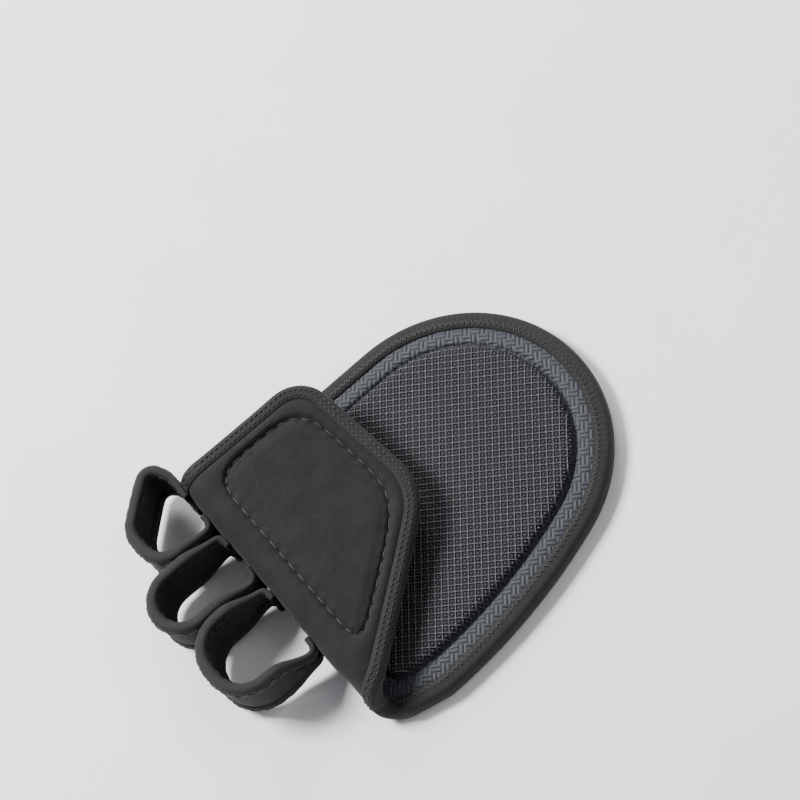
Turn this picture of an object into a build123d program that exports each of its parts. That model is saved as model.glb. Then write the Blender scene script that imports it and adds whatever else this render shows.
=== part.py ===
from build123d import *

import math
import os

# Neoprene hand grip for the right hand: a padded sheet folded like a taco, with three finger loops.
#
# The palm half lies flat with its textured grip face up. A short band stands at the fold, wedge-shaped, taller
# at the thumb side. The fingertip flap comes back over the palm half. The finger loops are sewn to the skin
# side of the band. Sizes are millimetres. While the parts are built, X runs from the fold to the wrist end, Y
# to the thumb side and Z up. The finished parts are then moved so that the origin is the centre of the base.

# ---- Driving dimensions -------------------------------------------------------------------------------

# Outline of the palm half
THUMB_EDGE_Y = 47.0
WRIST_CENTRE_X = 26.5
WRIST_RADIUS = 38.3
WRIST_TURN = 160.0  # degrees of the arc round the wrist end
HEEL_RADIUS = 150.0  # long arc along the little-finger side
HEEL_TURN = 20.0

# Little-finger edge where it crosses the folds
PALM_FOLD_HEEL_Y = -33.8  # lower fold, palm side
BAND_HEEL_Y = -29.4
FLAP_FOLD_HEEL_Y = -26.4  # upper fold, flap side

# Outline of the flap on its own plane: distance from the upper fold, and Y
FLAP_THUMB_CORNER = (33.5, THUMB_EDGE_Y)
FLAP_TIP = (38.5, 4.5)
FLAP_THUMB_ROUNDING = 10.0
FLAP_TIP_ROUNDING = 17.0

# Layers, counted from the skin side to the grip side
TAPE = 0.6
LINING = 0.8
NEOPRENE = 1.8
GRIP_SHEET = 0.8
CORE = 1.8
TAPE_WIDTH = 4.5
QUILT_INSET = 9.6  # from the outer edge to the quilted line on the palm half
FLAP_QUILT_INSET = 8.2
CORE_CLEARANCE = 3.0  # between a fold and the foam core
THREAD_CLEARANCE = 1.2  # between a fold and the quilting thread
THREAD_WIDTH = 0.7
THREAD_HEIGHT = 0.35

# Folds
FOLD_X = -28.3  # skin surface of the band
FOLD_RADIUS = 6.0  # both folds, to the skin surface
BAND_THUMB_HEIGHT = 9.0
BAND_HEEL_HEIGHT = 1.0
FLAP_SLOPE = 5.0  # degrees below level, from the upper fold to the free end

# Finger loops: strips that stand on the skin side of the band
STRIP = 1.6
STRIP_TAPE = 0.4
STRIP_LOW_Z = 2.6
STRIP_HIGH_Z = 17.4
STRIP_TAPE_WIDTH = 3.0
FOOT_LENGTH = 3.6  # flat ends of a strip, sewn to the band inside its loop
FOOT_ROUNDING = 1.3
SEWN_GAP = 0.1  # between the band and a strip's tape
TACK_THICKNESS = 0.4
TACK_WIDTH = 1.4
TACK_HEIGHT = 2.6

# The middle and ring loops from above: their legs' Y, how far they stand out, and the rounding of their ends
LOOPS = {
    "middle": {"legs": (14.8, 29.5), "depth": 22.8, "rounding": 7.2},
    "ring": {"legs": (-8.5, 11.8), "depth": 21.4, "rounding": 8.6},
}

# The index loop swings out past the thumb edge. Places are the distance out from the band, and Y.
INDEX_LEG_Y = 32.5
INDEX_DEPTH = 15.2
INDEX_SHOULDER_Y = 45.0  # where the slanting side meets the far end
INDEX_ELBOW = (2.2, 56.2)
INDEX_EDGE_Y = 50.2  # where it comes back to the pad's edge
INDEX_FOOT_Y = 42.5

# ---- Worked out from them -----------------------------------------------------------------------------

SKIN = TAPE  # level of the lining's skin face
BASE = SKIN + LINING
SHEET = BASE + NEOPRENE
SHEET_FACE = SHEET + GRIP_SHEET
RIM = SHEET_FACE + TAPE  # full thickness at the bound edge
CORE_TOP = SHEET + CORE
RAISED_FACE = CORE_TOP + GRIP_SHEET

PALM_START_X = FOLD_X + FOLD_RADIUS
BAND_RISE = (BAND_THUMB_HEIGHT - BAND_HEEL_HEIGHT) / (THUMB_EDGE_Y - BAND_HEEL_Y)
BAND_MIDDLE_HEIGHT = BAND_THUMB_HEIGHT - BAND_RISE * THUMB_EDGE_Y
BAND_TILT = math.degrees(math.atan(BAND_RISE))
FLAP_TURN = 90.0 + FLAP_SLOPE
STRIP_X = FOLD_X - SEWN_GAP - STRIP_TAPE - STRIP / 2  # middle line of a strip's sewn feet
RUN_ON = 25.0  # outlines run on past a fold before they are inset
FAR = 200.0
HALF_PLANE = Polyline((0, -FAR), (FAR, -FAR), (FAR, FAR), (0, FAR), close=True)


def past_fold(frame, turn):
    """The frame at the far side of a fold."""
    reach = FOLD_RADIUS * math.sin(math.radians(turn))
    rise = FOLD_RADIUS * (1 - math.cos(math.radians(turn)))
    return frame * Pos(reach, 0, rise) * Rot(0, -turn, 0)


# Frames along the pad: x towards the flap, y towards the little finger, z from the skin to the grip side
PALM_END = Pos(PALM_START_X, 0, 0) * Rot(0, 0, 180)
BAND_START = past_fold(PALM_END, 90)
BAND_END = BAND_START * Pos(BAND_MIDDLE_HEIGHT, 0, 0) * Rot(0, 0, BAND_TILT)
FLAP_START = past_fold(BAND_END, FLAP_TURN)

# ---- Stretches of the pad -----------------------------------------------------------------------------


class Stretch:
    """One stretch of the pad: a body that can be made between two levels, trimmed to an outline."""

    def __init__(self, name, body, outline, trim_frame):
        self.name = name
        self.body = body
        self.outline = outline
        self.trim_frame = trim_frame

    def layer(self, low, high, inset=TAPE):
        outline = offset(self.outline, amount=-inset) if inset else self.outline
        prism = self.trim_frame * extrude(outline, amount=60, both=True)
        return self.body(low, high) & prism

    def edge_tape(self):
        """The tape folded over the edge: full thickness outside, hollow where it holds the layers."""
        ring = self.layer(0, RIM, 0) - self.layer(0, RIM, TAPE_WIDTH)
        return ring - self.layer(SKIN, SHEET_FACE)

    def plain_layers(self):
        return {
            f"{self.name}_lining": self.layer(SKIN, BASE),
            f"{self.name}_neoprene": self.layer(BASE, SHEET),
            f"{self.name}_grip_sheet": self.layer(SHEET, SHEET_FACE),
            f"{self.name}_edge_tape": self.edge_tape(),
        }


def flat_body(frame, region):
    """A flat body over a region of the frame's plane, which is given as a closed line."""

    def body(low, high):
        return frame * Pos(0, 0, low) * extrude(make_face(region), high - low)

    return body


def folded_body(frame, turn):
    """Part of a tube round a fold, from the frame through the turn."""

    def body(low, high):
        inner = CenterArc((0, 0), FOLD_RADIUS - high, -90, turn)
        outer = CenterArc((0, 0), FOLD_RADIUS - low, -90, turn)
        sides = Line(inner @ 0, outer @ 0) + Line(inner @ 1, outer @ 1)
        section = Plane.XZ * make_face(inner + outer + sides)
        tube = extrude(section, amount=FAR / 2, both=True)
        return frame * Pos(0, 0, FOLD_RADIUS) * tube

    return body


def palm_stretch():
    frame = Pos(PALM_START_X, 0, 0)
    edge_end = (WRIST_CENTRE_X - PALM_START_X, THUMB_EDGE_Y)
    edge = Line((-RUN_ON, THUMB_EDGE_Y), edge_end)
    wrist = JernArc(edge @ 1, edge % 1, WRIST_RADIUS, -WRIST_TURN)
    heel = JernArc(wrist @ 1, wrist % 1, HEEL_RADIUS, -HEEL_TURN)
    fold_point = (0, PALM_FOLD_HEEL_Y)
    corner = TangentArc(heel @ 1, fold_point, tangent=heel % 1)
    slope = (BAND_HEEL_Y - PALM_FOLD_HEEL_Y) / FOLD_RADIUS
    run_on_point = (-RUN_ON, PALM_FOLD_HEEL_Y + slope * RUN_ON)
    back = Polyline(fold_point, run_on_point, edge @ 0)
    outline = make_face(edge + wrist + heel + corner + back)
    return Stretch("palm", flat_body(frame, HALF_PLANE), outline, frame)


def fold_stretch(name, frame, turn, heel_start_y, heel_end_y):
    """A fold, trimmed on the plane of its chord so that its little-finger edge runs slantwise."""
    chord = 2 * FOLD_RADIUS * math.sin(math.radians(turn) / 2)
    run_on_rise = (heel_end_y - heel_start_y) / chord * RUN_ON
    outline = Polyline(
        (-RUN_ON, -THUMB_EDGE_Y),
        (chord + RUN_ON, -THUMB_EDGE_Y),
        (chord + RUN_ON, -heel_end_y - run_on_rise),
        (-RUN_ON, -heel_start_y + run_on_rise),
        close=True,
    )
    chord_frame = frame * Rot(0, -turn / 2, 0)
    return Stretch(name, folded_body(frame, turn), make_face(outline), chord_frame)


def band_stretch():
    """The upright wedge between the folds."""
    thumb_top = BAND_MIDDLE_HEIGHT + BAND_RISE * FAR
    heel_top = BAND_MIDDLE_HEIGHT + BAND_RISE * 1.5 * BAND_HEEL_Y
    wedge = Polyline(
        (0, -FAR),
        (thumb_top, -FAR),
        (heel_top, -1.5 * BAND_HEEL_Y),
        (0, -1.5 * BAND_HEEL_Y),
        close=True,
    )
    middle_y = (THUMB_EDGE_Y + BAND_HEEL_Y) / 2
    outline = Pos(0, -middle_y) * Rectangle(FAR, THUMB_EDGE_Y - BAND_HEEL_Y)
    return Stretch("band", flat_body(BAND_START, wedge), outline, BAND_START)


def flap_stretch():
    heel = (0, -FLAP_FOLD_HEEL_Y)
    tip = (FLAP_TIP[0], -FLAP_TIP[1])
    thumb_corner = (FLAP_THUMB_CORNER[0], -FLAP_THUMB_CORNER[1])
    slope = (tip[1] - heel[1]) / tip[0]
    ends = [(-RUN_ON, heel[1] - slope * RUN_ON), (-RUN_ON, -THUMB_EDGE_Y)]
    roundings = [FLAP_TIP_ROUNDING, FLAP_THUMB_ROUNDING]
    edge = FilletPolyline(ends[0], tip, thumb_corner, ends[1], radius=roundings)
    outline = make_face(edge + Line(ends[1], ends[0]))
    return Stretch("flap", flat_body(FLAP_START, HALF_PLANE), outline, FLAP_START)


def padded_layers(stretch, quilt_inset):
    """The foam core, the grip sheet raised over it, and the quilting thread round it on both faces."""

    def block(inset, low, high, clearance):
        inner = offset(stretch.outline, amount=-inset)
        keep = Pos(clearance + FAR / 2, 0) * Rectangle(FAR, 2 * FAR)
        return stretch.trim_frame * Pos(0, 0, low) * extrude(inner & keep, high - low)

    def thread(low):
        high = low + THREAD_HEIGHT
        outer = block(cover_inset - THREAD_WIDTH, low, high, THREAD_CLEARANCE)
        inner = block(cover_inset, low, high, THREAD_CLEARANCE + THREAD_WIDTH)
        return outer - inner

    core = block(quilt_inset, SHEET, CORE_TOP, CORE_CLEARANCE)
    cover_inset = quilt_inset - GRIP_SHEET
    cover = block(cover_inset, SHEET, RAISED_FACE, CORE_CLEARANCE - GRIP_SHEET)
    return {
        f"{stretch.name}_foam_core": core,
        f"{stretch.name}_grip_sheet": stretch.layer(SHEET, SHEET_FACE) + cover - core,
        f"{stretch.name}_quilting_thread": Part() + [thread(SHEET_FACE), thread(SKIN - THREAD_HEIGHT)],
    }


# ---- Finger loops -------------------------------------------------------------------------------------


def index_path():
    """The index loop's middle line from above: foot, leg, far end, slanting side, elbow, edge, foot."""
    far_x = STRIP_X - INDEX_DEPTH
    elbow = (STRIP_X - INDEX_ELBOW[0], INDEX_ELBOW[1])
    return FilletPolyline(
        (STRIP_X, INDEX_LEG_Y + FOOT_LENGTH),
        (STRIP_X, INDEX_LEG_Y),
        (far_x, INDEX_LEG_Y),
        (far_x, INDEX_SHOULDER_Y),
        elbow,
        (STRIP_X, INDEX_EDGE_Y),
        (STRIP_X, INDEX_FOOT_Y),
        radius=[FOOT_ROUNDING, 6.0, 6.0, 2.6, 2.6],
    )


def plain_path(legs, depth, rounding):
    """A plain loop's middle line from above: foot, leg, round the finger, leg, foot."""
    near_y, far_y = legs
    out_x = STRIP_X - depth
    return FilletPolyline(
        (STRIP_X, near_y + FOOT_LENGTH),
        (STRIP_X, near_y),
        (out_x, near_y),
        (out_x, far_y),
        (STRIP_X, far_y),
        (STRIP_X, far_y - FOOT_LENGTH),
        radius=[FOOT_ROUNDING, rounding, rounding, FOOT_ROUNDING],
    )


def wall(path, thickness, low, high):
    """An upright wall that follows a path seen from above."""
    edge = offset(path, amount=thickness / 2, side=Side.BOTH)
    return Pos(0, 0, low) * extrude(make_face(edge), high - low)


def finger_loop(name, path):
    """A loop's strip, the tape over its two long edges and the tacks through its feet."""
    strip = wall(path, STRIP, STRIP_LOW_Z, STRIP_HIGH_Z)
    taped = STRIP + 2 * STRIP_TAPE
    upper_low = STRIP_HIGH_Z - STRIP_TAPE_WIDTH
    lower_high = STRIP_LOW_Z + STRIP_TAPE_WIDTH
    upper = wall(path, taped, upper_low, STRIP_HIGH_Z + STRIP_TAPE)
    lower = wall(path, taped, STRIP_LOW_Z - STRIP_TAPE, lower_high)
    align = (Align.MAX, Align.CENTER, Align.CENTER)
    tack = Box(TACK_THICKNESS, TACK_WIDTH, TACK_HEIGHT, align=align)
    tack_z = (STRIP_LOW_Z + STRIP_HIGH_Z) / 2
    foot_ys = [(path @ 0).Y - TACK_WIDTH, (path @ 1).Y + TACK_WIDTH]
    tacks = [Pos(STRIP_X - STRIP / 2, y, tack_z) * tack for y in foot_ys]
    return {
        f"{name}_loop_strip": strip,
        f"{name}_loop_upper_tape": upper - strip,
        f"{name}_loop_lower_tape": lower - strip,
        f"{name}_loop_tacks": Part() + tacks,
    }


# ---- The whole grip -----------------------------------------------------------------------------------


def build_parts():
    palm = palm_stretch()
    palm_fold = fold_stretch("palm_fold", PALM_END, 90, PALM_FOLD_HEEL_Y, BAND_HEEL_Y)
    flap_fold = fold_stretch("flap_fold", BAND_END, FLAP_TURN, BAND_HEEL_Y, FLAP_FOLD_HEEL_Y)
    flap = flap_stretch()
    parts = {}
    for stretch in (palm, palm_fold, band_stretch(), flap_fold, flap):
        parts.update(stretch.plain_layers())
    parts.update(padded_layers(palm, QUILT_INSET))
    parts.update(padded_layers(flap, FLAP_QUILT_INSET))
    parts.update(finger_loop("index", index_path()))
    for name, shape in LOOPS.items():
        parts.update(finger_loop(name, plain_path(**shape)))
    return parts


def hinge_point(frame, turn):
    """A point on the line a fold turns about, placed so that the opened pad keeps its length."""
    middle = FOLD_RADIUS - RIM / 2
    half_turn = math.radians(turn) / 2
    reach = middle * half_turn
    level = RIM / 2 + middle - reach / math.tan(half_turn)
    return frame * Pos(reach, 0, level)


def main():
    parts = build_parts()
    bounds = Compound(list(parts.values())).bounding_box()
    centre = bounds.center()
    to_origin = Pos(-centre.X, -centre.Y, -bounds.min.Z)
    os.makedirs("parts", exist_ok=True)
    for node, shape in parts.items():
        export_step(to_origin * shape, f"parts/{node}.step")
    print("moved by", to_origin.position, "overall", bounds.size)
    print("palm_fold turns about", (to_origin * hinge_point(PALM_END, 90)).position)
    print("flap_fold turns about", (to_origin * hinge_point(BAND_END, FLAP_TURN)).position)
    print("flap_fold is tilted by", BAND_TILT)


main()
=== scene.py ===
import math

import bmesh
import bpy
import numpy as np
from mathutils import Matrix, Vector, kdtree
from mathutils.geometry import delaunay_2d_cdt


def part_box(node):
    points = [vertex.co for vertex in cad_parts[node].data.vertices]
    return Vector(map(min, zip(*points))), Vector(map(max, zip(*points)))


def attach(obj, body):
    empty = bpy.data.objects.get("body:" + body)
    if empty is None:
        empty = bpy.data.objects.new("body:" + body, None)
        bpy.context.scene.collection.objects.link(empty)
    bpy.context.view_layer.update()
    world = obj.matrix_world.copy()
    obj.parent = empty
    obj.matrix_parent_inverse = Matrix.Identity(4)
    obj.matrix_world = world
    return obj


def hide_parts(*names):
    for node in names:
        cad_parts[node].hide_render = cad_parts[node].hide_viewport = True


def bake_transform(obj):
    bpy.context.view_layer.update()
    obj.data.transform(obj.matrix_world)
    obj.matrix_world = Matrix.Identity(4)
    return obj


# A folded neoprene hand grip. Lengths inside this script are millimetres in the pad's own frame, whose origin
# is where the wrist arc's and the thumb edge's dimensions are counted from. They become metres in the frame of
# the CAD model when a mesh is made.

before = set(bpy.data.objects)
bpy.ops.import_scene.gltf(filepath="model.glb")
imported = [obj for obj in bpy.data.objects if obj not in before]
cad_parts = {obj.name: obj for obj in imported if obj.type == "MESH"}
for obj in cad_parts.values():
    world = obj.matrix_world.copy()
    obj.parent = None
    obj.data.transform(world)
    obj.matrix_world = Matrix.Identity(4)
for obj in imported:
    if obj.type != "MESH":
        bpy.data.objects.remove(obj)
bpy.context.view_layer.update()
MM = 0.001

# ---- Dimensions that the CAD model has too ------------------------------------------------------------

THUMB_Y = 47.0
WRIST_X, WRIST_R, WRIST_TURN = 26.5, 38.3, 160.0
HEEL_R, HEEL_TURN = 150.0, 20.0
PALM_HEEL_Y, BAND_HEEL_Y, FLAP_HEEL_Y = -33.8, -29.4, -26.4
FLAP_CORNERS = [(38.5, -4.5), (33.5, -47.0)]
FLAP_ROUNDINGS = [17.0, 10.0]
FOLD_X, FOLD_R = -28.3, 6.0
BAND_THUMB_H, BAND_HEEL_H = 9.0, 1.0
FLAP_TURN = math.radians(95.0)
RIM = 4.6
SHEET_FACE, RAISED_FACE, SKIN = 4.0, 5.8, 0.6
HEEL_SIDE_Y = 36.0
QUILT, FLAP_QUILT = 9.0, 7.8
PALM_X = FOLD_X + FOLD_R
RISE = (BAND_THUMB_H - BAND_HEEL_H) / (THUMB_Y - BAND_HEEL_Y)
BAND_H = BAND_THUMB_H - RISE * THUMB_Y
TILT = math.atan(RISE)
NEUTRAL_R = FOLD_R - RIM / 2

# Distances along the pad, counted from the start of the lower fold
FOLD_1_END = NEUTRAL_R * math.pi / 2
BAND_END_S = FOLD_1_END + BAND_H
FLAP_S = BAND_END_S + NEUTRAL_R * FLAP_TURN
MIDDLE_S = FOLD_1_END + BAND_H / 2

# Steps between samples: of lines on the pad, and of a loop's length
LINE_STEP = 0.25
LOOP_STEP = 0.3

wrist_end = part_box("palm_edge_tape")[1]
SHIFT = np.array([wrist_end.x / MM - (WRIST_X + WRIST_R), wrist_end.y / MM - THUMB_Y, 0.0])

# ---- Mapping from the flat pad to its folded shape ----------------------------------------------------


def rows(*vectors):
    return np.array(vectors, float)


PALM_END = (rows((PALM_X, 0, 0))[0], rows((-1, 0, 0), (0, -1, 0), (0, 0, 1)))


def step_on(place, along, up=0.0, turn=0.0, tilt=0.0):
    """A frame further on: moved along and up, turned up about its y axis, tilted about its z axis."""
    origin, axes = place
    origin = origin + along * axes[0] + up * axes[2]
    x, y, z = axes
    x, z = math.cos(turn) * x + math.sin(turn) * z, math.cos(turn) * z - math.sin(turn) * x
    x, y = math.cos(tilt) * x + math.sin(tilt) * y, math.cos(tilt) * y - math.sin(tilt) * x
    return origin, rows(x, y, z)


def past_fold(place, turn):
    return step_on(place, FOLD_R * math.sin(turn), FOLD_R * (1 - math.cos(turn)), turn)


BAND_START = past_fold(PALM_END, math.pi / 2)
BAND_END = step_on(BAND_START, BAND_H, tilt=TILT)
FLAP_START = past_fold(BAND_END, FLAP_TURN)


def smooth(t):
    t = np.clip(t, 0, 1)
    return t * t * (3 - 2 * t)


def flap_lift(s, y):
    """How far the flap's free rim curls up from a flat plane."""
    out = np.clip(s - FLAP_S, 0, 60)
    side = smooth((np.abs(y + 10) - 14) / 26)
    return smooth(out / 26) * (1.1 * side + 1.5 * smooth((out - 16) / 24))


def fold(s, y, n):
    """Points of the folded pad, in metres: s along the pad, y towards the little finger, n from the skin."""
    s, y, n = (np.asarray(v, float) for v in (s, y, n))
    s, y, n = np.broadcast_arrays(s, y, n)
    wide = y / math.cos(TILT)
    turn_1 = np.clip(s / FOLD_1_END, 0, 1) * math.pi / 2
    turn_2 = np.clip((s - BAND_END_S) / (FLAP_S - BAND_END_S), 0, 1) * FLAP_TURN
    height = (BAND_H - RISE * y) * np.clip((s - FOLD_1_END) / BAND_H, 0, 1)
    lifted = n - flap_lift(s, y)
    stretches = [
        (PALM_END, s < 0, (s, y, n)),
        (
            PALM_END,
            (s >= 0) & (s < FOLD_1_END),
            (np.sin(turn_1) * (FOLD_R - n), y, FOLD_R - (FOLD_R - n) * np.cos(turn_1)),
        ),
        (BAND_START, (s >= FOLD_1_END) & (s < BAND_END_S), (height, y, n)),
        (
            BAND_END,
            (s >= BAND_END_S) & (s < FLAP_S),
            (np.sin(turn_2) * (FOLD_R - n), wide, FOLD_R - (FOLD_R - n) * np.cos(turn_2)),
        ),
        (FLAP_START, s >= FLAP_S, (s - FLAP_S, wide, lifted)),
    ]
    points = np.zeros(s.shape + (3,))
    for (origin, axes), where, local in stretches:
        place = origin + np.stack(local, -1) @ axes
        points[where] = place[where]
    return (points + SHIFT) * MM


# ---- The outline on the flat pad ----------------------------------------------------------------------


def arc(start, heading, radius, turn, step=0.5):
    """Points round an arc that turns left by turn degrees, with the end heading."""
    turn = math.radians(turn)
    count = max(2, int(abs(turn) * radius / step))
    side = math.copysign(1, turn)
    centre = (start[0] - side * radius * math.sin(heading), start[1] + side * radius * math.cos(heading))
    angles = heading - side * math.pi / 2 + np.linspace(0, turn, count)
    points = [(centre[0] + radius * math.cos(a), centre[1] + radius * math.sin(a)) for a in angles]
    return points, heading + turn


def fillet(points, radii, step=LINE_STEP):
    """A line through points with its inner corners rounded."""
    path = [points[0]]
    for before, corner, after, radius in zip(points, points[1:], points[2:], radii):
        a, b, c = (np.array(p, float) for p in (before, corner, after))
        u, v = (b - a) / np.linalg.norm(b - a), (c - b) / np.linalg.norm(c - b)
        turn = math.atan2(u[0] * v[1] - u[1] * v[0], u @ v)
        start = b - u * radius * math.tan(abs(turn) / 2)
        path += arc(start, math.atan2(u[1], u[0]), radius, math.degrees(turn), step)[0]
    return path + [points[-1]]


def resampled(points, step, closed=False):
    points = np.array(points + [points[0]] if closed else points, float)
    lengths = np.r_[0, np.cumsum(np.linalg.norm(np.diff(points, axis=0), axis=1))]
    count = int(lengths[-1] / step)
    at = np.linspace(0, lengths[-1], count, endpoint=not closed)
    return np.stack([np.interp(at, lengths, points[:, i]) for i in range(points.shape[1])], -1)


def softened(points, reach, closed):
    """Points averaged with their neighbours over about reach samples each way."""
    kernel = np.hanning(2 * reach + 3)[1:-1]
    kernel /= kernel.sum()
    if closed:
        padded = np.r_[points[-reach:], points, points[:reach]]
    else:
        first, last = points[0], points[-1]
        padded = np.r_[2 * first - points[reach:0:-1], points, 2 * last - points[-2 : -reach - 2 : -1]]
    return np.stack([np.convolve(padded[:, i], kernel, "valid") for i in range(points.shape[1])], -1)


def pad_outline():
    """The pad's edge, from the middle of the band at the thumb side, round the wrist end and the flap."""
    cos_tilt = math.cos(TILT)
    wrist, heading = arc((-(WRIST_X - PALM_X), -THUMB_Y), math.pi, WRIST_R, -WRIST_TURN)
    heel, heading = arc(wrist[-1], heading, HEEL_R, -HEEL_TURN)
    palm_corner = (0.0, -PALM_HEEL_Y)
    flap = fillet([(0, -FLAP_HEEL_Y), *FLAP_CORNERS, (0, -THUMB_Y)], FLAP_ROUNDINGS)
    flap = [(FLAP_S + x, y * cos_tilt) for x, y in flap]
    band = [(FOLD_1_END, -BAND_HEEL_Y), (BAND_END_S, -BAND_HEEL_Y)]
    points = [(MIDDLE_S, -THUMB_Y), *wrist, *heel, palm_corner, *band, *flap, (BAND_END_S, -THUMB_Y)]
    return softened(resampled(points, LINE_STEP, closed=True), 9, closed=True)


class ClosedPath:
    """A closed line on the flat pad, with the distance in from it and the place along it of any point."""

    def __init__(self, points):
        self.points = points
        self.step = np.linalg.norm(points[1] - points[0])
        along = np.roll(points, -1, 0) - np.roll(points, 1, 0)
        along /= np.linalg.norm(along, axis=1)[:, None]
        self.inward = np.stack([along[:, 1], -along[:, 0]], -1)
        x, y = points.T
        area = (x * np.roll(y, -1) - y * np.roll(x, -1)).sum()
        if area > 0:
            self.inward = -self.inward
        self.tree = kdtree.KDTree(len(points))
        for index, (a, b) in enumerate(points):
            self.tree.insert((a, b, 0), index)
        self.tree.balance()

    def holds(self, s, y):
        """Whether points are inside, by counting the line's crossings of each row."""
        inside = np.zeros(s.shape, bool)
        for (x0, y0), (x1, y1) in zip(self.points, np.roll(self.points, -1, 0)):
            if y0 != y1:
                crossed = (y0 > y) != (y1 > y)
                inside ^= crossed & (s < x0 + (y - y0) * (x1 - x0) / (y1 - y0))
        return inside

    def fields(self, s, y):
        """Distance in from the line, negative outside, and place along it."""
        found = [self.tree.find((a, b, 0)) for a, b in zip(s.ravel(), y.ravel())]
        depth = np.array([f[2] for f in found]).reshape(s.shape)
        place = np.array([f[1] for f in found], float).reshape(s.shape) * self.step
        return np.where(self.holds(s, y), depth, -depth), place


EDGE = ClosedPath(pad_outline())
OUTLINE, INWARD, EDGE_STEP = EDGE.points, EDGE.inward, EDGE.step


def quilt_line(quilt, on_side, rounding):
    """The quilted line: in from the edge and across beside the fold, with its corners rounded."""
    line = OUTLINE + INWARD * quilt
    keep = line[on_side(line[:, 0]) > 0]
    gap = int(np.argmax(np.linalg.norm(keep - np.roll(keep, 1, 0), axis=1)))
    points = resampled([tuple(p) for p in np.roll(keep, -gap, 0)], LINE_STEP, closed=True)
    return ClosedPath(softened(points, int(rounding / LINE_STEP), closed=True))


def palm_fold_side(s):
    return -1.8 - s


def flap_fold_side(s):
    return s - FLAP_S - 1.2


QUILTS = {
    "palm": quilt_line(QUILT, palm_fold_side, 6.0),
    "flap": quilt_line(FLAP_QUILT - 1.4, flap_fold_side, 13.0),
}


# ---- Meshes -------------------------------------------------------------------------------------------


def new_mesh(name, points, faces, uvs=None, centre=None):
    """An object with smooth faces. uvs are flat millimetres; centre is 1 inside the quilted line, 0 outside."""
    mesh = bpy.data.meshes.new(name)
    mesh.from_pydata([tuple(p) for p in points], [], [tuple(int(i) for i in f) for f in faces])
    if uvs is not None:
        layer = mesh.uv_layers.new(name="flat_mm")
        corners = np.zeros(len(mesh.loops), np.int32)
        mesh.loops.foreach_get("vertex_index", corners)
        layer.data.foreach_set("uv", np.asarray(uvs, np.float32)[corners].ravel())
    if centre is not None:
        attribute = mesh.attributes.new("centre", "FLOAT", "POINT")
        attribute.data.foreach_set("value", np.asarray(centre, np.float32))
    mesh.polygons.foreach_set("use_smooth", [True] * len(mesh.polygons))
    mesh.update()
    obj = bpy.data.objects.new(name, mesh)
    bpy.context.scene.collection.objects.link(obj)
    return obj


def boundary_loop(quads):
    """The single loop of vertices round a patch of quads, in face order."""
    edges = np.concatenate([quads[:, [i, (i + 1) % 4]] for i in range(4)])
    keys = {tuple(e) for e in edges.tolist()}
    after = {a: b for a, b in keys if (b, a) not in keys}
    start = min(after)
    loop = [start]
    while after[loop[-1]] != start:
        loop.append(after[loop[-1]])
    return loop


def layer_piece(name, s_range, spacing, cut, front, back, coarse=1.6):
    """A closed sheet of the pad, where it is deeper in from the edge than cut: a fine front, a coarser back.

    front gives the level and the raised centre's amount from s, y and depth; back is a plain level.
    """
    low, high = s_range
    s_count = int((high - low) / spacing) + 1
    y_low, y_high = -THUMB_Y - 0.5, HEEL_SIDE_Y
    y_count = int((y_high - y_low) / spacing) + 1
    s, y = np.meshgrid(np.linspace(low, high, s_count), np.linspace(y_low, y_high, y_count), indexing="ij")
    depth, _ = EDGE.fields(s, y)
    keep = depth > cut
    cells = keep[:-1, :-1] & keep[1:, :-1] & keep[1:, 1:] & keep[:-1, 1:]
    index = np.arange(s.size).reshape(s.shape)
    quads = np.stack([index[:-1, :-1], index[1:, :-1], index[1:, 1:], index[:-1, 1:]], -1)[cells]
    used = np.unique(quads)
    renumber = np.zeros(s.size, int)
    renumber[used] = np.arange(len(used))
    quads = renumber[quads]
    s, y, depth = (v.ravel()[used] for v in (s, y, depth))
    level, centre = front(s, y, depth)
    loop = boundary_loop(quads)
    inner_s, inner_y = np.meshgrid(np.arange(low, high, coarse) + coarse / 2, np.arange(y_low, y_high, coarse))
    inner_depth, _ = EDGE.fields(inner_s, inner_y)
    chosen = (inner_depth > cut + coarse) & (inner_s < high - coarse / 2) & (inner_s > low + coarse / 2)
    flat = [Vector((s[i], y[i])) for i in loop]
    flat += [Vector(p) for p in zip(inner_s[chosen], inner_y[chosen])]
    found = delaunay_2d_cdt(flat, [], [list(range(len(loop)))], 1, 1e-5, True)
    back_flat = np.array([tuple(v) for v in found[0]])
    output = {source: i for i, sources in enumerate(found[3]) for source in sources}
    points = np.r_[fold(s, y, level), fold(back_flat[:, 0], back_flat[:, 1], back)]
    start = len(used)
    faces = quads.tolist()
    for face in found[2]:
        a, b, c = face
        area = np.cross(back_flat[b] - back_flat[a], back_flat[c] - back_flat[a])
        order = (a, c, b) if area > 0 else (a, b, c)
        faces.append([start + i for i in order])
    back_of = {vertex: output[k] for k, vertex in enumerate(loop)}
    for i, j in zip(loop, loop[1:] + loop[:1]):
        faces.append([j, i, start + back_of[i], start + back_of[j]])
    if np.mean(level) < back:
        faces = [f[::-1] for f in faces]
    uvs = np.r_[np.stack([s, y], -1), back_flat]
    return new_mesh(name, points, faces, uvs, np.r_[centre, np.zeros(len(back_flat))])


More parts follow.
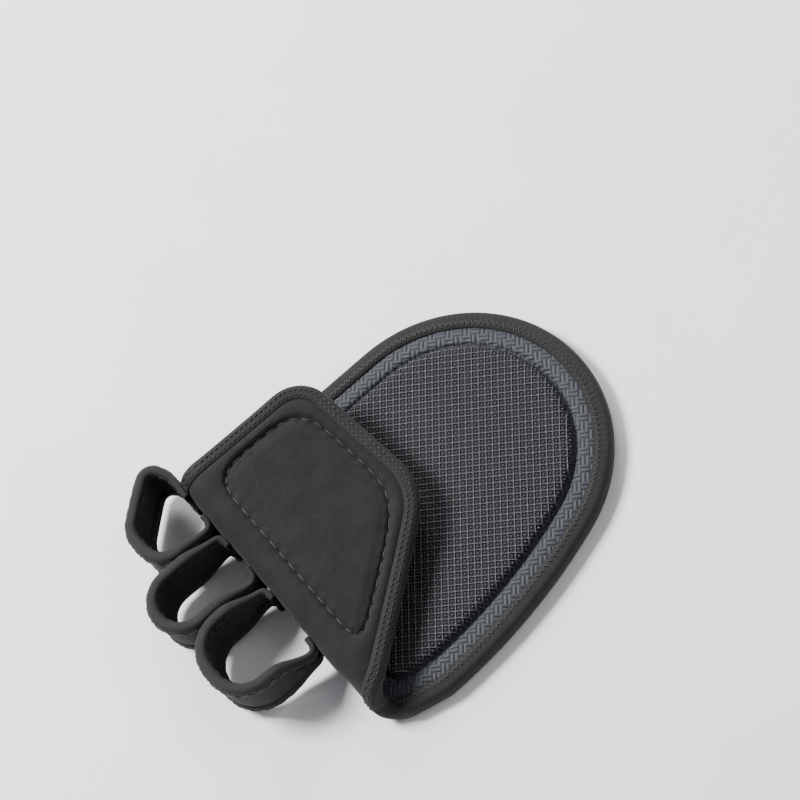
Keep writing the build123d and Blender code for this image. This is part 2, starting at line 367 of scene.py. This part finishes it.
def ribbon(name, stations, profile, levels):
    """A closed strip with a closed section of (inset, level) points, swept along stations of the edge.

    levels gives what to add to a section point's level, from its number and the places along the edge.
    """
    base, inward = OUTLINE[stations], INWARD[stations]
    places = stations * EDGE_STEP
    lengthwise = np.arange(len(stations)) * EDGE_STEP
    rings, uvs = [], []
    section_lengths = np.r_[0, np.cumsum(np.linalg.norm(np.diff(profile, axis=0), axis=1))]
    for k, (inset, level) in enumerate(profile):
        flat = base + inward * inset
        rings.append(fold(flat[:, 0], flat[:, 1], level + levels(k, places)))
        uvs.append(np.stack([lengthwise, np.full(len(stations), section_lengths[k])], -1))
    return swept(name, np.stack(rings, 1), np.stack(uvs, 1))


def swept(name, rings, uvs):
    """A tube with closed ends through rings of points, an array of stations by section points."""
    count, around = rings.shape[:2]
    index = np.arange(count * around).reshape(count, around)
    turned = np.roll(index, -1, 1)
    quads = np.stack([index[:-1], index[1:], turned[1:], turned[:-1]], -1).reshape(-1, 4)
    faces = quads.tolist() + [index[0].tolist(), index[-1][::-1].tolist()]
    obj = new_mesh(name, rings.reshape(-1, 3), faces, uvs.reshape(-1, 2))
    made_outward(obj)
    return obj


def made_outward(obj):
    """Turn all faces outward."""
    mesh = bmesh.new()
    mesh.from_mesh(obj.data)
    bmesh.ops.recalc_face_normals(mesh, faces=mesh.faces)
    mesh.to_mesh(obj.data)
    mesh.free()


def threads(name, starts, ends, lifts, radius, sides=6, rings=6):
    """Short stitches: bent rods from starts to ends, bowed out along lifts. All in metres."""
    starts, ends, lifts = (np.asarray(v, float) for v in (starts, ends, lifts))
    along = ends - starts
    along /= np.linalg.norm(along, axis=1)[:, None]
    up = lifts / np.linalg.norm(lifts, axis=1)[:, None]
    side = np.cross(along, up)
    side /= np.linalg.norm(side, axis=1)[:, None]
    t = np.linspace(0, 1, rings)
    swell = radius * (0.55 + 0.45 * np.sin(np.pi * t))
    bow = np.sin(np.pi * t)
    angles = np.arange(sides) * 2 * math.pi / sides
    middle = starts[:, None] * (1 - t)[None, :, None] + ends[:, None] * t[None, :, None]
    middle = middle + lifts[:, None] * bow[None, :, None]
    circle = side[:, None, None] * np.cos(angles)[None, None, :, None]
    circle = circle + up[:, None, None] * np.sin(angles)[None, None, :, None]
    points = middle[:, :, None] + circle * swell[None, :, None, None]
    count = len(starts)
    index = np.arange(count * rings * sides).reshape(count, rings, sides)
    turned = np.roll(index, -1, 2)
    quads = np.stack([index[:, :-1], turned[:, :-1], turned[:, 1:], index[:, 1:]], -1).reshape(-1, 4)
    faces = quads.tolist() + index[:, 0, ::-1].tolist() + index[:, -1].tolist()
    obj = new_mesh(name, points.reshape(-1, 3), faces)
    made_outward(obj)
    return obj


# ---- Reliefs ------------------------------------------------------------------------------------------

LATTICE = 1.65
LATTICE_HEIGHT = 0.24
LATTICE_TURN = math.radians(-37.5)
BASKET_CELL = 2.2
QUILT_PITCH = 1.6
MARGIN_LOW = 3.4


def lattice(s, y):
    """Height from 0 to 1 of the grip face's pattern: ridges in a square mesh, with a dot in each cell."""
    x_pad, y_pad = -s, -y
    p = (x_pad * math.cos(LATTICE_TURN) + y_pad * math.sin(LATTICE_TURN)) / LATTICE
    q = (y_pad * math.cos(LATTICE_TURN) - x_pad * math.sin(LATTICE_TURN)) / LATTICE
    near_p, near_q = np.cos(2 * math.pi * p), np.cos(2 * math.pi * q)
    ridges = np.maximum(smooth((near_p - 0.35) / 0.65), smooth((near_q - 0.35) / 0.65))
    dots = smooth((-near_p - near_q - 0.9) / 1.1)
    return np.maximum(ridges, 0.9 * dots)


def grip_front(side, margin_low):
    """The grip face: a puffed margin, a stitched groove and a raised centre that carries the pattern."""
    quilt = QUILTS[side]

    def front(s, y, depth):
        inside, along = quilt.fields(s, y)
        crown = (RAISED_FACE - SHEET_FACE) * np.sqrt(1 - (1 - np.clip(inside / 3.2, 0, 1)) ** 2)
        dome = 0.35 * smooth(inside / 24)
        across = np.clip((depth - margin_low) / np.maximum(depth - margin_low - inside, 0.5), 0, 1)
        margin = np.where(inside < 0, 0.4 * np.sin(math.pi * across) ** 0.8, 0.0) * smooth(1 + (inside + 8) / 4)
        groove = -0.75 * np.exp(-((inside / 0.5) ** 2))
        puckers = 0.1 * np.exp(-(((inside + 0.9) / 0.8) ** 2)) * np.cos(2 * math.pi * along / QUILT_PITCH)
        pattern = LATTICE_HEIGHT * smooth(inside - 0.3) * lattice(s, y)
        level = SHEET_FACE + crown + dome + margin + groove + puckers + pattern
        return level, smooth(inside / 0.8)

    return front


def knit_front(side, swell):
    """The skin side: a puffed margin, a stitched groove and a softly crowned centre. Lower levels stand out."""
    quilt = QUILTS[side]

    def front(s, y, depth):
        inside, along = quilt.fields(s, y)
        across = np.clip((depth - MARGIN_LOW) / np.maximum(depth - MARGIN_LOW - inside, 0.5), 0, 1)
        margin = np.where(inside < 0, swell * np.sin(math.pi * across) ** 0.7, 0.0) * smooth(1 + (inside + 8) / 4)
        centre = swell * 0.8 * smooth(inside / 3.5)
        groove = 0.6 * np.exp(-((inside / 0.5) ** 2))
        stitch = 0.5 - 0.5 * np.cos(2 * math.pi * along / QUILT_PITCH)
        puckers = 0.2 * np.exp(-(((inside - 0.9) / 0.7) ** 2)) * stitch
        puckers = puckers + 0.14 * np.exp(-(((inside + 0.9) / 0.7) ** 2)) * stitch
        rumple = 0.1 * np.sin(s / 3.1 + 1.3 * np.sin(y / 4.7)) * np.sin(y / 3.9 + 1.1 * np.sin(s / 5.3))
        level = SKIN - margin - centre + groove - puckers - rumple * smooth((depth - 4.5) / 2)
        return level, smooth(inside)

    return front


def padding_front(side):
    """The foam's upper face, raised inside the quilted line."""

    def front(s, y, depth):
        inside, _ = QUILTS[side].fields(s, y)
        level = 3.15 + 1.5 * np.sqrt(1 - (1 - np.clip((inside - 1.2) / 3.4, 0, 1)) ** 2)
        return level, np.zeros(len(s))

    return front


# ---- Materials ----------------------------------------------------------------------------------------


class Shader:
    """A small helper that writes a fabric material out of nodes."""

    def __init__(self, name):
        self.material = bpy.data.materials.new(name)
        self.material.use_nodes = True
        self.nodes = self.material.node_tree.nodes
        self.links = self.material.node_tree.links
        self.bsdf = self.nodes["Principled BSDF"]

    def put(self, value, socket):
        if hasattr(value, "is_output"):
            self.links.new(value, socket)
        else:
            socket.default_value = value

    def math(self, operation, a, b=0.0, clamp=False):
        node = self.nodes.new("ShaderNodeMath")
        node.operation = operation
        node.use_clamp = clamp
        self.put(a, node.inputs[0])
        self.put(b, node.inputs[1])
        return node.outputs[0]

    def wave(self, value, period, phase=0.0):
        """A wave from 0 to 1 with a period in the value's unit."""
        turned = self.math("MULTIPLY_ADD", value, 2 * math.pi / period)
        turned.node.inputs[2].default_value = phase
        wave = self.math("MULTIPLY_ADD", self.math("SINE", turned), 0.5)
        wave.node.inputs[2].default_value = 0.5
        return wave

    def uv(self):
        node = self.nodes.new("ShaderNodeUVMap")
        node.uv_map = "flat_mm"
        split = self.nodes.new("ShaderNodeSeparateXYZ")
        self.links.new(node.outputs[0], split.inputs[0])
        return split.outputs[0], split.outputs[1]

    def centre(self):
        node = self.nodes.new("ShaderNodeAttribute")
        node.attribute_name = "centre"
        return node.outputs["Fac"]

    def noise(self, scale, detail=4.0, roughness=0.6):
        """Noise over the object, with its scale per metre."""
        where = self.nodes.new("ShaderNodeTexCoord")
        node = self.nodes.new("ShaderNodeTexNoise")
        self.links.new(where.outputs["Object"], node.inputs["Vector"])
        node.inputs["Scale"].default_value = scale
        node.inputs["Detail"].default_value = detail
        node.inputs["Roughness"].default_value = roughness
        return node.outputs["Fac"]

    def ramp(self, value, stops):
        node = self.nodes.new("ShaderNodeValToRGB")
        ramp = node.color_ramp
        while len(ramp.elements) < len(stops):
            ramp.elements.new(0.5)
        for element, (at, colour) in zip(ramp.elements, stops):
            element.position = at
            element.color = (*colour, 1) if hasattr(colour, "__len__") else (colour, colour, colour, 1)
        self.put(value, node.inputs[0])
        return node.outputs["Color"]

    def mix(self, factor, a, b):
        node = self.nodes.new("ShaderNodeMix")
        node.data_type = "RGBA"
        self.put(factor, node.inputs[0])
        self.put(a, node.inputs[6])
        self.put(b, node.inputs[7])
        return node.outputs[2]

    def bump(self, height, distance, strength=1.0, normal=None):
        node = self.nodes.new("ShaderNodeBump")
        node.inputs["Strength"].default_value = strength
        node.inputs["Distance"].default_value = distance
        self.put(height, node.inputs["Height"])
        if normal is not None:
            self.links.new(normal, node.inputs["Normal"])
        return node.outputs[0]

    def finish(self, colour, roughness, normal, sheen=0.0, specular=0.5):
        self.put(colour, self.bsdf.inputs["Base Color"])
        self.put(roughness, self.bsdf.inputs["Roughness"])
        if normal is not None:
            self.links.new(normal, self.bsdf.inputs["Normal"])
        self.bsdf.inputs["Sheen Weight"].default_value = sheen
        self.bsdf.inputs["Sheen Roughness"].default_value = 0.4
        self.bsdf.inputs["Specular IOR Level"].default_value = specular
        return self.material


def lint(shader, colour, base):
    """Add sparse pale specks of dust and lint to a colour."""
    specks = shader.noise(5200, 2.0, 0.5)
    amount = shader.math("GREATER_THAN", specks, 0.75)
    faded = shader.math("MULTIPLY", amount, 0.35)
    return shader.mix(faded, colour, (*base, 1))


def knit_material(name, dark, light, pitch, depth, roughness=0.85, sheen=0.25):
    """Fine knit: rows of small slanted loops, in millimetres on the flat sheet."""
    shader = Shader(name)
    u, v = shader.uv()
    slant = shader.math("ABSOLUTE", shader.math("SINE", shader.math("MULTIPLY", v, math.pi / pitch)))
    shifted = shader.math("ADD", u, shader.math("MULTIPLY", slant, 0.45 * pitch))
    columns = shader.wave(shifted, pitch * 0.8)
    courses = shader.wave(v, pitch)
    height = shader.math("ADD", shader.math("MULTIPLY", columns, 0.6), shader.math("MULTIPLY", courses, 0.4))
    cloudy = shader.noise(220, 5.0)
    fuzz = shader.noise(2600, 3.0)
    tone = shader.math("ADD", shader.math("MULTIPLY", height, 0.45), shader.math("MULTIPLY", cloudy, 0.55))
    colour = shader.ramp(tone, [(0.25, dark), (0.8, light)])
    colour = lint(shader, colour, (0.3, 0.3, 0.3))
    normal = shader.bump(height, depth * MM)
    normal = shader.bump(fuzz, 0.00012, 0.6, normal)
    return shader.finish(colour, roughness, normal, sheen, 0.3)


def turned_coordinates(shader, turn, pitch):
    """The flat sheet's coordinates turned by an angle and counted in pitches."""
    u, v = shader.uv()
    cos, sin = math.cos(turn) / pitch, math.sin(turn) / pitch
    p = shader.math("ADD", shader.math("MULTIPLY", u, -cos), shader.math("MULTIPLY", v, -sin))
    q = shader.math("ADD", shader.math("MULTIPLY", v, -cos), shader.math("MULTIPLY", u, sin))
    return p, q


def grip_material():
    """Rubber grip face: basket weave on the margin, a mesh of ridges and glossy dots on the raised centre, whose
    colour holds painted shade in the pits and painted highlights on the ridge and dot tops.
    """
    shader = Shader("grip_rubber_face")
    centre = shader.centre()
    p, q = turned_coordinates(shader, LATTICE_TURN, LATTICE)
    near_p = shader.wave(p, 1.0, math.pi / 2)
    near_q = shader.wave(q, 1.0, math.pi / 2)
    ridges = shader.math("POWER", shader.math("MAXIMUM", near_p, near_q), 9.0)
    far = shader.math("MULTIPLY", shader.math("SUBTRACT", 1.0, near_p), shader.math("SUBTRACT", 1.0, near_q))
    dots = shader.math("POWER", far, 4.0)
    mesh_height = shader.math("ADD", shader.math("MULTIPLY", ridges, 0.75), shader.math("MULTIPLY", dots, 0.9))
    a, b = turned_coordinates(shader, LATTICE_TURN, BASKET_CELL)
    cells = shader.math("ADD", shader.math("FLOOR", a), shader.math("FLOOR", b))
    other = shader.math("FLOORED_MODULO", cells, 2.0)
    bars_a = shader.math("MULTIPLY", shader.wave(a, 0.5, math.pi), other)
    bars_b = shader.math("MULTIPLY", shader.wave(b, 0.5, math.pi), shader.math("SUBTRACT", 1.0, other))
    bars = shader.math("POWER", shader.math("ADD", bars_a, bars_b), 0.45)
    margin_amount = shader.math("SUBTRACT", 1.0, centre, clamp=True)
    fine = shader.noise(3200, 3.0)
    wear = shader.noise(70, 4.0)
    height = shader.math("MULTIPLY", bars, shader.math("MULTIPLY", margin_amount, 0.4))
    height = shader.math("ADD", height, shader.math("MULTIPLY", mesh_height, centre))
    height = shader.math("ADD", height, shader.math("MULTIPLY", fine, 0.12))
    edge = shader.mix(bars, (0.011, 0.012, 0.016, 1), (0.030, 0.033, 0.042, 1))
    # Painted shade and painted highlights: the centre's colour runs from near black in the pits between the ridges
    # to pale grey on the ridge and dot tops.
    stops = [(0.1, 0.0003), (0.4, (0.004, 0.0043, 0.0055)), (0.85, (0.16, 0.165, 0.19))]
    middle = shader.ramp(mesh_height, stops)
    colour = shader.mix(centre, edge, middle)
    # The wear is weighted by the raised amount, so the painted shade in the pits stays dark.
    raised = shader.math("MAXIMUM", mesh_height, 0.06)
    worn = shader.math("MULTIPLY", shader.math("MULTIPLY", wear, 0.22), raised)
    colour = shader.mix(worn, colour, (0.05, 0.053, 0.062, 1))
    rough = shader.math("ADD", shader.math("MULTIPLY", wear, 0.12), 0.56)
    shine = shader.math("MULTIPLY", shader.math("MULTIPLY", mesh_height, centre), -0.46)
    rough = shader.math("ADD", rough, shine, clamp=True)
    normal = shader.bump(height, 0.0005)
    return shader.finish(colour, rough, normal, 0.0, 0.4)


def tape_material(name, tone=1.0):
    """Woven binding tape with fine ribs across it."""
    shader = Shader(name)
    u, v = shader.uv()
    ribs = shader.wave(u, 0.42)
    lengthwise = shader.wave(v, 0.5, 1.2)
    height = shader.math("ADD", shader.math("MULTIPLY", ribs, 0.7), shader.math("MULTIPLY", lengthwise, 0.3))
    cloudy = shader.noise(160, 4.0)
    mixed = shader.math("ADD", shader.math("MULTIPLY", height, 0.5), shader.math("MULTIPLY", cloudy, 0.5))
    colour = shader.ramp(mixed, [(0.25, 0.004 * tone), (0.8, 0.015 * tone)])
    colour = lint(shader, colour, (0.22, 0.22, 0.22))
    normal = shader.bump(height, 0.00009)
    normal = shader.bump(shader.noise(2400, 3.0), 0.0001, 0.5, normal)
    return shader.finish(colour, 0.78, normal, 0.06, 0.35)


def thread_material(name, tone):
    shader = Shader(name)
    twist = shader.noise(4200, 2.0)
    colour = shader.ramp(twist, [(0.3, 0.5 * tone), (0.7, tone)])
    normal = shader.bump(twist, 0.0001, 0.6)
    return shader.finish(colour, 0.6, normal, 0.05, 0.5)


def foam_material():
    shader = Shader("neoprene_foam")
    cells = shader.noise(2500, 5.0)
    colour = shader.ramp(cells, [(0.3, 0.008), (0.7, 0.025)])
    normal = shader.bump(cells, 0.00015, 0.7)
    return shader.finish(colour, 0.8, normal, 0.0, 0.4)


KNIT = knit_material("lining_knit", 0.0045, 0.018, 0.62, 0.12, 0.88, 0.06)
LOOP_KNIT = knit_material("loop_knit", 0.0035, 0.013, 0.7, 0.12, 0.82, 0.06)
GRIP = grip_material()
EDGE_TAPE = tape_material("edge_tape_weave")
LOOP_TAPE = tape_material("loop_tape_weave", 1.25)
THREAD = thread_material("stitching", 0.018)
QUILT_THREAD = thread_material("quilting", 0.022)
FOAM = foam_material()


def dressed(obj, material):
    obj.data.materials.append(material)
    return obj


# ---- The pad ------------------------------------------------------------------------------------------

PALM_RANGE = (OUTLINE[:, 0].min() - 0.2, MIDDLE_S)
FLAP_RANGE = (MIDDLE_S, OUTLINE[:, 0].max() + 0.2)


def on_palm(obj):
    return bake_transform(obj)


def on_flap(obj):
    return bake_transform(obj)


# Spacing of each layer's mesh, how far in from the edge it starts, and the level of its hidden side
GRIP_SPACING, GRIP_BACK = 0.27, 3.25
LINING_SPACING, LINING_BACK = 0.33, 1.35
PADDING_SPACING, PADDING_BACK = 1.2, 1.45
SHEET_CUT, PADDING_CUT = 2.4, 0.9
SIDES = {
    "palm": (PALM_RANGE, on_palm, ("palm", "palm_fold", "band")),
    "flap": (FLAP_RANGE, on_flap, ("flap", "flap_fold")),
}
SWELL = {"palm": 0.35, "flap": 0.8}

for side, (s_range, bend, stretches) in SIDES.items():
    grip = grip_front(side, 4.3)
    face = layer_piece(f"{side}_grip_face", s_range, GRIP_SPACING, SHEET_CUT, grip, GRIP_BACK)
    dressed(face, GRIP)
    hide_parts(*[f"{name}_grip_sheet" for name in stretches])
    bend(face)
    knit = knit_front(side, SWELL[side])
    skin = layer_piece(f"{side}_lining_knit", s_range, LINING_SPACING, SHEET_CUT, knit, LINING_BACK)
    dressed(skin, KNIT)
    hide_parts(*[f"{name}_lining" for name in stretches])
    bend(skin)
    foam = padding_front(side)
    body = layer_piece(f"{side}_padding", s_range, PADDING_SPACING, PADDING_CUT, foam, PADDING_BACK)
    dressed(body, FOAM)
    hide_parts(*[f"{name}_neoprene" for name in stretches], f"{side}_foam_core")
    bend(body)

# ---- The binding tape and its stitching ---------------------------------------------------------------

TAPE_OUTSIDE = [
    (4.5, 3.95), (4.42, 4.35), (4.1, 4.58), (3.3, 4.68), (2.3, 4.64), (1.3, 4.58), (0.6, 4.35), (0.18, 3.8),
    (0.0, 3.0), (-0.06, 2.3), (0.0, 1.6), (0.18, 0.8), (0.6, 0.25), (1.3, 0.05), (2.3, 0.0), (3.1, 0.02),
    (3.5, 0.12), (3.72, 0.34), (3.78, 0.66),
]
TAPE_INSIDE = [(3.6, 0.7), (2.0, 0.66), (1.1, 0.8), (0.66, 1.4), (0.6, 2.3), (0.66, 3.2), (1.1, 3.8), (2.0, 3.92)]
TAPE_SECTION = np.array(TAPE_OUTSIDE + TAPE_INSIDE)
STITCH_PITCH = 1.55
OVERLOCK_PITCH = 0.75

# Thread radii are in metres, as threads takes them
BINDING_THREAD_R, QUILT_THREAD_R, LOOP_THREAD_R = 0.00019, 0.00021, 0.00017


def stations_of(side):
    on_palm_side = OUTLINE[:, 0] <= MIDDLE_S
    chosen = on_palm_side if side == "palm" else ~on_palm_side
    indexes = np.arange(len(OUTLINE))
    first = next(i for i in indexes if chosen[i] and not chosen[i - 1])
    run = [(first + k) % len(OUTLINE) for k in range(chosen.sum())]
    return np.array(run if side == "palm" else [run[0] - 1, *run, (run[-1] + 1) % len(OUTLINE)])


def pucker(k, place):
    """The tape is pulled in a little at each stitch and swells between."""
    inset, level = TAPE_SECTION[k]
    if k >= len(TAPE_OUTSIDE) or not 1.0 < inset < 4.2:
        return 0.0
    pull = 0.07 * np.cos(2 * math.pi * place / STITCH_PITCH) * math.exp(-(((inset - 2.2) / 1.0) ** 2))
    return -pull if level > RIM / 2 else pull


def edge_points(stations, inset, level):
    flat = OUTLINE[stations] + INWARD[stations] * np.asarray(inset)[..., None]
    return fold(flat[:, 0], flat[:, 1], level)


def stitch_row(stations, insets, level, pitch, lift, gap=0.0):
    """Starts, ends and lifts of stitches along the edge, which zigzag if the two insets differ."""
    per = pitch / EDGE_STEP
    count = int((len(stations) - 6) / per) - 1
    at = 3 + np.arange(count) * per
    starts = stations[np.round(at).astype(int)]
    ends = stations[np.minimum(np.round(at + per - 2 * gap / EDGE_STEP).astype(int), len(stations) - 1)]
    odd = np.arange(count) % 2 == 1
    near, far = np.where(odd, insets[1], insets[0]), np.where(odd, insets[0], insets[1])
    a, b = edge_points(starts, near, level), edge_points(ends, far, level)
    return a, b, edge_points(starts, near, level + lift) - a


def joined_rows(stitch_rows):
    return [np.concatenate(parts) for parts in zip(*stitch_rows)]


for side, (_, bend, stretches) in SIDES.items():
    stations = stations_of(side)
    tape = ribbon(f"{side}_binding", stations, TAPE_SECTION, pucker)
    dressed(tape, EDGE_TAPE)
    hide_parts(*[f"{name}_edge_tape" for name in stretches])
    bend(tape)
    stitch_rows = [
        stitch_row(stations, (2.5, 3.9), 4.6, OVERLOCK_PITCH, 0.12),
        stitch_row(stations, (1.35, 1.35), 0.03, STITCH_PITCH, -0.1, 0.3),
        stitch_row(stations, (2.7, 2.7), 0.02, STITCH_PITCH, -0.1, 0.3),
    ]
    stitching = threads(f"{side}_binding_stitches", *joined_rows(stitch_rows), BINDING_THREAD_R)
    dressed(stitching, THREAD)
    bend(stitching)


def quilt_rows(side, level, bow):
    """Long stitches end to end round the quilted line."""
    quilt = QUILTS[side]
    path, step = quilt.points, quilt.step
    count = int(len(path) * step / QUILT_PITCH)
    at = np.arange(count) * QUILT_PITCH / step
    one = np.round(at + 0.1 * QUILT_PITCH / step).astype(int) % len(path)
    two = np.round(at + 0.9 * QUILT_PITCH / step).astype(int) % len(path)
    a, b = (fold(path[i, 0], path[i, 1], level) for i in (one, two))
    lift = fold(path[one, 0], path[one, 1], level + bow) - a
    return a, b, lift


for side, (_, bend, _) in SIDES.items():
    both = [quilt_rows(side, SHEET_FACE - 0.62, 0.16), quilt_rows(side, SKIN + 0.45, -0.16)]
    stitching = threads(f"{side}_quilting", *joined_rows(both), QUILT_THREAD_R)
    dressed(stitching, QUILT_THREAD)
    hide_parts(f"{side}_quilting_thread")
    bend(stitching)

# ---- Finger loops -------------------------------------------------------------------------------------

STRIP_X = FOLD_X - 0.1 - 0.4 - 0.8
LOOP_LOW, LOOP_HIGH = 2.6, 17.4
SEWN_LOW = 4.0
FOOT = 3.6


def plain_loop(near_y, far_y, depth, rounding):
    out_x = STRIP_X - depth
    corners = [
        (STRIP_X, near_y + FOOT), (STRIP_X, near_y), (out_x, near_y),
        (out_x, far_y), (STRIP_X, far_y), (STRIP_X, far_y - FOOT),
    ]
    return fillet(corners, [1.3, rounding, rounding, 1.3])


def index_loop():
    far_x = STRIP_X - 15.2
    corners = [
        (STRIP_X, 32.5 + FOOT), (STRIP_X, 32.5), (far_x, 32.5), (far_x, 45.0),
        (STRIP_X - 2.2, 56.2), (STRIP_X, 50.2), (STRIP_X, 42.5),
    ]
    return fillet(corners, [1.3, 6.0, 6.0, 2.6, 2.6])


LOOP_PATHS = {
    "index": index_loop(),
    "middle": plain_loop(14.8, 29.5, 22.8, 7.2),
    "ring": plain_loop(-8.5, 11.8, 21.4, 8.6),
}


def round_section(half, low, high, radius, count=5):
    """A closed section of (offset, height) points: an upright bar with rounded edges."""
    corners = [(half, low, -90), (half, high, 0), (-half, high, 90), (-half, low, 180)]
    points = []
    for x, z, start in corners:
        centre = (x - math.copysign(radius, x), z + (radius if z == low else -radius))
        for angle in np.linspace(start, start + 90, count):
            a = math.radians(angle)
            points.append((centre[0] + radius * math.cos(a), centre[1] + radius * math.sin(a)))
    return points


def wall_section(half, low, high, radius, upright=8):
    """As round_section, with more points up its two faces."""
    corner = round_section(half, low, high, radius)
    quarter = len(corner) // 4
    points = []
    for k in range(4):
        part = corner[k * quarter : (k + 1) * quarter]
        points += part
        if k in (0, 2):
            after = corner[(k + 1) * quarter]
            for t in np.linspace(0, 1, upright + 2)[1:-1]:
                points.append(tuple(np.array(part[-1]) * (1 - t) + np.array(after) * t))
    return points


def loop_shape(path):
    """A loop's line on the flat, its outward directions, lengths along it, and how free of its sewn ends it is."""
    flat = softened(resampled([tuple(p) for p in path], LOOP_STEP), 8, closed=False)
    along = np.gradient(flat, axis=0)
    along /= np.linalg.norm(along, axis=1)[:, None]
    across = np.stack([along[:, 1], -along[:, 0]], -1)
    length = np.arange(len(flat)) * LOOP_STEP
    total = length[-1]
    free = smooth((length - 4.5) / 9) * smooth((total - length - 4.5) / 9)
    faces_out = np.sign(((flat - flat.mean(0)) * across).sum(1))
    return flat, across if np.median(faces_out) > 0 else -across, length, free


def loop_rings(shape, section, wobble):
    """Rings of section points along a loop: bellied and waved where it is free, flat and thin where it is sewn."""
    flat, across, length, free = shape
    rings, uvs = [], []
    section = np.array(section)
    around = np.r_[0, np.cumsum(np.linalg.norm(np.diff(section, axis=0), axis=1))]
    for (offset, height), v in zip(section, around):
        t = (height - LOOP_LOW) / (LOOP_HIGH - LOOP_LOW)
        belly = free * (0.55 * math.sin(math.pi * min(max(t, 0), 1)) - 0.1 + 0.3 * t)
        wave = free * wobble * np.sin(length / 5.1 + 2.2 * t)
        thin = 1 - 0.4 * (1 - free)
        place = flat + across * (offset * thin + belly + wave)[:, None]
        place[:, 0] += 0.75 * (1 - free)
        sewn_top = FOLD_R + BAND_H + RISE * flat[:, 1] + 1.6
        top = LOOP_HIGH + (sewn_top - LOOP_HIGH) * (1 - free)
        bottom = LOOP_LOW + (SEWN_LOW - LOOP_LOW) * (1 - free)
        z = np.where(t > 0.5, top + height - LOOP_HIGH, bottom + height - LOOP_LOW)
        between = (t > 0.26) & (t < 0.74)
        z = z if not between else bottom + (top - bottom) * t
        z = z + free * (0.25 * np.sin(length / 7.3 + wobble * 9) * t)
        rings.append(np.stack([place[:, 0], place[:, 1], z], -1))
        uvs.append(np.stack([length, np.full(len(length), v)], -1))
    return (np.stack(rings, 1) + SHIFT) * MM, np.stack(uvs, 1)


def loop_stitches(shape, offset, heights, pitch, wobble, bow):
    """Zigzag stitches through a loop's tape, on one face."""
    _, _, length, _ = shape
    section = [(offset, heights[0]), (offset, heights[1]), (offset + bow, heights[0])]
    rings, _ = loop_rings(shape, section, wobble)
    per = pitch / LOOP_STEP
    count = int((len(length) - 8) / per)
    at = np.round(4 + np.arange(count + 1) * per).astype(int)
    at = at[at < len(length)]
    odd = np.arange(len(at)) % 2
    spots = rings[at, odd]
    lifts = (rings[at, 2] - rings[at, 0])[:-1]
    return spots[:-1], spots[1:], lifts


LOOP_WOBBLE = {"index": 0.16, "middle": 0.2, "ring": 0.13}
TAPE_FACE = 1.47

for name, path in LOOP_PATHS.items():
    shape = loop_shape(path)
    wobble = LOOP_WOBBLE[name]
    wall = swept(f"{name}_loop_wall", *loop_rings(shape, wall_section(0.85, LOOP_LOW, LOOP_HIGH, 0.5), wobble))
    dressed(wall, LOOP_KNIT)
    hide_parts(f"{name}_loop_strip")
    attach(wall, "band")
    stitch_rows = []
    ends = (("upper", LOOP_HIGH - 3.0, LOOP_HIGH + 0.4), ("lower", LOOP_LOW - 0.4, LOOP_LOW + 3.0))
    for end, low, high in ends:
        section = wall_section(1.45, low, high, 1.15, 5)
        tape = swept(f"{name}_loop_{end}_binding", *loop_rings(shape, section, wobble))
        dressed(tape, LOOP_TAPE)
        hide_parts(f"{name}_loop_{end}_tape")
        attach(tape, "band")
        middle = (low + high) / 2
        for face in (TAPE_FACE, -TAPE_FACE):
            bow = math.copysign(0.12, face)
            stitch_rows.append(loop_stitches(shape, face, (middle - 0.65, middle + 0.65), 1.5, wobble, bow))
    stitching = threads(f"{name}_loop_stitches", *joined_rows(stitch_rows), LOOP_THREAD_R)
    dressed(stitching, THREAD)
    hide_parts(f"{name}_loop_tacks")
    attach(stitching, "band")

# ---- Floor, light and camera --------------------------------------------------------------------------


def floor():
    bpy.ops.mesh.primitive_plane_add(size=6, location=(0, 0, -0.0003))
    plane = bpy.context.object
    plane.name = "studio_floor"
    shader = Shader("studio_floor")
    grain = shader.noise(30, 3.0)
    colour = shader.ramp(grain, [(0.3, (0.90, 0.90, 0.90)), (0.7, (0.93, 0.93, 0.93))])
    plane.data.materials.append(shader.finish(colour, 0.9, None, 0.0, 0.2))


def area_light(name, location, size, power, target=(0, 0, 0.005)):
    data = bpy.data.lights.new(name, "AREA")
    data.shape = "RECTANGLE"
    data.size, data.size_y = size
    data.energy = power
    light = bpy.data.objects.new(name, data)
    light.location = location
    light.rotation_euler = (Vector(target) - Vector(location)).to_track_quat("-Z", "Y").to_euler()
    bpy.context.scene.collection.objects.link(light)


def camera():
    """A camera at the photograph's viewing angle."""
    data = bpy.data.cameras.new("camera")
    data.lens = 168.75
    data.sensor_width = 36.0
    data.clip_start, data.clip_end = 0.01, 20
    obj = bpy.data.objects.new("camera", data)
    target = Vector((0.0195, 0.0156, 0.0144))
    back = Vector((-0.03684, -0.46802, 0.88295)).normalized()
    right = Vector((0.75597, -0.59090, -0.28168)).normalized()
    up = back.cross(right).normalized()
    right = up.cross(back)
    obj.matrix_world = Matrix.Translation(target + back * 0.9) @ Matrix((right, up, back)).transposed().to_4x4()
    bpy.context.scene.collection.objects.link(obj)
    bpy.context.scene.camera = obj


floor()
area_light("key", (-0.35, 0.5, 0.75), (0.3, 0.3), 21)
area_light("fill", (0.6, -0.3, 0.6), (0.6, 0.6), 2.0)
area_light("back", (0.3, 0.7, 0.4), (0.5, 0.25), 6)
world = bpy.data.worlds.new("studio")
world.use_nodes = True
world.node_tree.nodes["Background"].inputs[0].default_value = (0.93, 0.94, 1.0, 1)
world.node_tree.nodes["Background"].inputs[1].default_value = 0.33
bpy.context.scene.world = world
camera()
